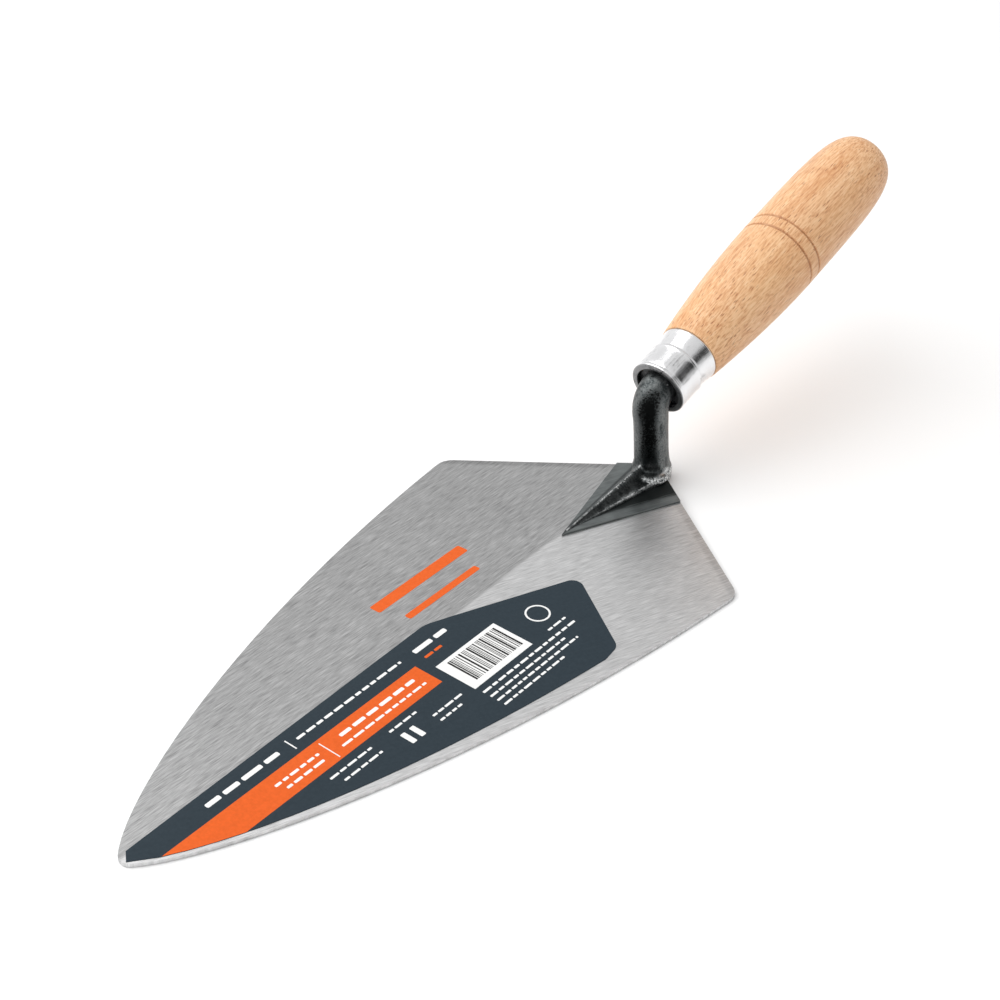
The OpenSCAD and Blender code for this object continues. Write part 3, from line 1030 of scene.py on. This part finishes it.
def label_band(bm):
    """The orange band: the film's own outline, cut to a strip."""
    x0, end_y = from_tip(BAND_X0, BAND_END)
    x1 = BAND_X1 * MM
    cut = bmesh.new()
    cut.from_mesh(frame["nodes"]["label"].data)
    hidden = [f for f in cut.faces if f.normal.z < 0.9 or f.calc_center_median().z < 0]
    bmesh.ops.delete(cut, geom=hidden, context="FACES")
    for point, normal in (
            ((x0, 0, 0), (-1, 0, 0)), ((x1, 0, 0), (1, 0, 0)), ((0, end_y, 0), (0, 1, 0))):
        bmesh.ops.bisect_plane(
            cut, geom=cut.verts[:] + cut.edges[:] + cut.faces[:],
            plane_co=point, plane_no=normal, clear_outer=True)
    made = bmesh.ops.extrude_face_region(cut, geom=cut.faces[:])
    for v in (g for g in made["geom"] if isinstance(g, bmesh.types.BMVert)):
        v.co.z += INK_T
    mesh = bpy.data.meshes.new("band")
    cut.to_mesh(mesh)
    cut.free()
    bm.from_mesh(mesh)
    bpy.data.meshes.remove(mesh)


def stripes(bm, rng):
    """Plain stripes of mixed thickness on the panel."""
    y = STRIPES_FROM
    while y < STRIPES_TO:
        thick = rng.choice(STRIPE_SIZES)
        stop = min(y + thick, STRIPES_TO + 0.2)
        slab(bm, rounded(STRIPE_X0, y, STRIPE_X1, stop), ON_BAND)
        y += thick + rng.choice(STRIPE_GAPS)


def plain_ring(bm):
    """A flat ring, made of short blocks."""
    def point(r, i):
        a = 2 * math.pi * (i % RING_SIDES) / RING_SIDES
        return from_tip(RING_AT[0] + r * math.cos(a), RING_AT[1] + r * math.sin(a))

    for i in range(RING_SIDES):
        outer, inner = ([point(r, k) for k in (i, i + 1)] for r in (RING_OUT, RING_IN))
        slab(bm, outer + inner[::-1], ON_FILM)


def print_pieces():
    """All the print, one piece for each ink and one for the print on the steel."""
    rng = random.Random(11)
    inks = {name: bmesh.new() for name in ("orange", "white", "black", "mark")}
    label_band(inks["orange"])
    for ink, layer, *row in ROWS:
        word_marks(inks[ink], rng, layer, *row)
    for ink, layer, *block in BLOCKS:
        slab(inks[ink], rounded(*block), layer)
    stripes(inks["black"], rng)
    plain_ring(inks["white"])
    for name, ink, material in (
            ("print_orange", "orange", ORANGE), ("print_white", "white", WHITE),
            ("print_black", "black", BLACK), ("print_on_steel", "mark", ORANGE)):
        finish_piece(new_object(name, inks[ink], smooth=False), material, "label_film")


print_pieces()

# ---------------------------------------------------------------- camera, floor and light

AZIMUTH, ELEVATION, ROLL = (math.radians(a) for a in (39.06, 34.26, 0.21))
DISTANCE = 0.6577
LENS, SENSOR = 68.93, 36
AIM_RIGHT, AIM_UP = 0.02566, 0.04882
# The studio's strength on its dim and on its bright side.
DIM_SIDE, BRIGHT_SIDE = 0.82, 1.20
# A dim opening: what the ferrule mirrors a little right of its middle.
DARK_OPENING = (0.83, 0.333, 0.4465)
OPENING_RIM, OPENING_CORE, OPENING_LEVEL = 0.915, 0.985, 0.03
# The key light, placed by shares of the camera's right, up and back.
KEY_RIGHT, KEY_UP, KEY_BACK = -0.55, 0.75, 0.45
KEY_DISTANCE, KEY_SIZE, KEY_POWER = 1.5, 1.8, 17
FLOOR_HALF, FLOOR_DROP = 4, 0.2 * MM
FLOOR_DARK, FLOOR_LIGHT = (0.945, 0.945, 0.945), (0.955, 0.955, 0.955)


def camera_axes():
    """The camera's right, up and back directions."""
    back = Vector((
        math.sin(AZIMUTH) * math.cos(ELEVATION),
        -math.cos(AZIMUTH) * math.cos(ELEVATION),
        math.sin(ELEVATION)))
    right = Vector((math.cos(AZIMUTH), math.sin(AZIMUTH), 0))
    up = back.cross(right)
    c, s = math.cos(ROLL), math.sin(ROLL)
    return right * c + up * s, up * c - right * s, back


def camera(right, up, back):
    data = bpy.data.cameras.new("camera")
    data.lens = LENS
    data.sensor_width = SENSOR
    data.clip_start, data.clip_end = 0.01, 50
    obj = bpy.data.objects.new("camera", data)
    bpy.context.scene.collection.objects.link(obj)
    turn = Matrix((right, up, back)).transposed().to_4x4()
    place = right * AIM_RIGHT + up * AIM_UP + back * DISTANCE
    obj.matrix_world = Matrix.Translation(place) @ turn
    bpy.context.scene.camera = obj


def key_light(right, up, back):
    """One large soft light, up and to the left of the camera."""
    data = bpy.data.lights.new("key", "AREA")
    data.shape = "RECTANGLE"
    data.size, data.size_y = KEY_SIZE, KEY_SIZE
    data.energy = KEY_POWER
    obj = bpy.data.objects.new("key", data)
    bpy.context.scene.collection.objects.link(obj)
    direction = (up * KEY_UP + right * KEY_RIGHT + back * KEY_BACK).normalized()
    obj.location = direction * KEY_DISTANCE
    obj.rotation_mode = "QUATERNION"
    obj.rotation_quaternion = direction.to_track_quat("Z", "Y")


def world(bright_from):
    """A soft studio, brighter on one side, with one dim opening that round metal can mirror."""
    w = bpy.data.worlds.new("studio")
    bpy.context.scene.world = w
    w.use_nodes = True
    tree = w.node_tree
    tree.nodes.clear()
    out = tree.nodes.new("ShaderNodeOutputWorld")
    sky = tree.nodes.new("ShaderNodeBackground")
    where = tree.nodes.new("ShaderNodeTexCoord")

    def toward(direction, low, high, start, end):
        """From start to end as the view turns toward a direction."""
        dot = tree.nodes.new("ShaderNodeVectorMath")
        dot.operation = "DOT_PRODUCT"
        dot.inputs[1].default_value = direction
        ramp = tree.nodes.new("ShaderNodeMapRange")
        ramp.interpolation_type = "SMOOTHSTEP"
        for key, value in (
                ("From Min", low), ("From Max", high), ("To Min", start), ("To Max", end)):
            ramp.inputs[key].default_value = value
        tree.links.new(where.outputs["Generated"], dot.inputs[0])
        tree.links.new(dot.outputs["Value"], ramp.inputs["Value"])
        return ramp.outputs[0]

    side = toward(bright_from, -0.9, 0.9, DIM_SIDE, BRIGHT_SIDE)
    opening = toward(DARK_OPENING, OPENING_RIM, OPENING_CORE, 1.0, OPENING_LEVEL)
    both = tree.nodes.new("ShaderNodeMath")
    both.operation = "MULTIPLY"
    tree.links.new(side, both.inputs[0])
    tree.links.new(opening, both.inputs[1])
    tree.links.new(both.outputs[0], sky.inputs["Strength"])
    tree.links.new(sky.outputs[0], out.inputs[0])


def floor():
    """A plain pale floor, just under the blade."""
    bm = bmesh.new()
    bmesh.ops.create_grid(bm, x_segments=24, y_segments=24, size=FLOOR_HALF)
    obj = new_object("floor", bm)
    obj.location.z = -FLOOR_DROP
    s = Shader("floor")
    faint = s.noise(s.place((3, 3, 3)), detail=2)
    s.set(
        Base_Color=s.mix(s.swing(faint, 0, 1), FLOOR_DARK, FLOOR_LIGHT),
        Roughness=0.8, Specular_IOR_Level=0.1)
    obj.data.materials.append(s.material)


cam_right, cam_up, cam_back = camera_axes()
camera(cam_right, cam_up, cam_back)
world(tuple(-cam_right))
key_light(cam_right, cam_up, cam_back)
floor()
bpy.context.scene.view_settings.view_transform = "Standard"
